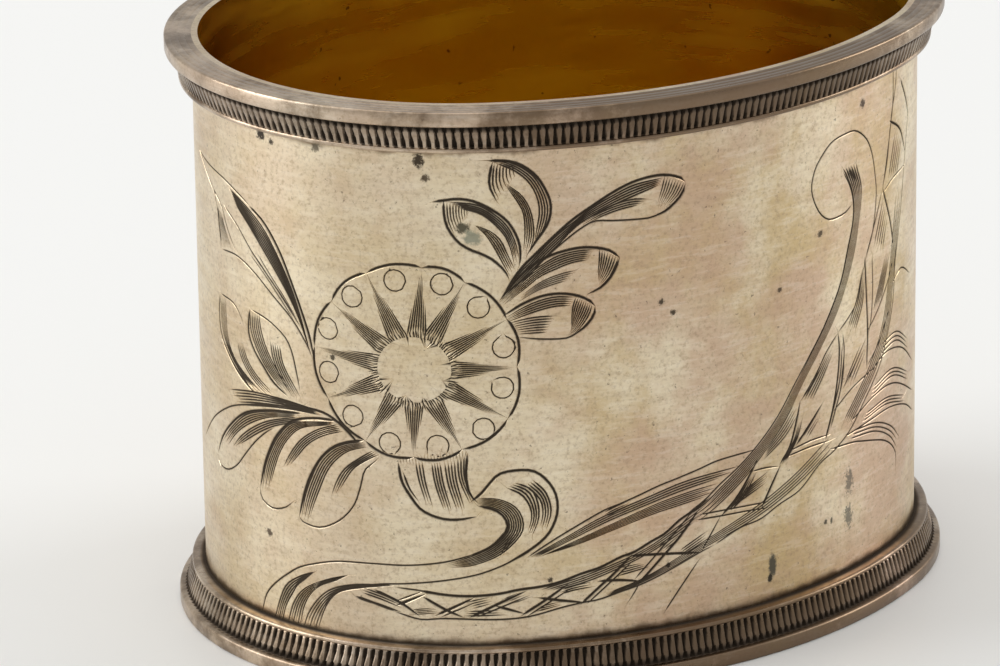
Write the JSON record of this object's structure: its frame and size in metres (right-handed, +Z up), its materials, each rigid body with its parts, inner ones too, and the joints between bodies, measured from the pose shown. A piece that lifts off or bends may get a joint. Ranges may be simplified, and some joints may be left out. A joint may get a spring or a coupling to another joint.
{
  "type": "napkin ring",
  "caption": "Oval silver napkin ring with milled rims and an engraved flower, leaves and ribbon scroll, gilt inside; holds a rolled napkin.",
  "frame": {"origin": "middle of the underside, where the ring stands", "axes": "+Z up through the ring, +X along the longer way of the oval, -Y towards the engraved front"},
  "size_m": [0.0514, 0.0412, 0.0375],
  "materials": {
    "silver_sheet": "toned silver, satin, gilt inside",
    "silver_wire": "toned silver with dark notches"
  },
  "bodies": {
    "root": {"sleeve": "silver_sheet", "lower_rim": "silver_wire", "upper_rim": "silver_wire"}
  },
  "joints": []
}
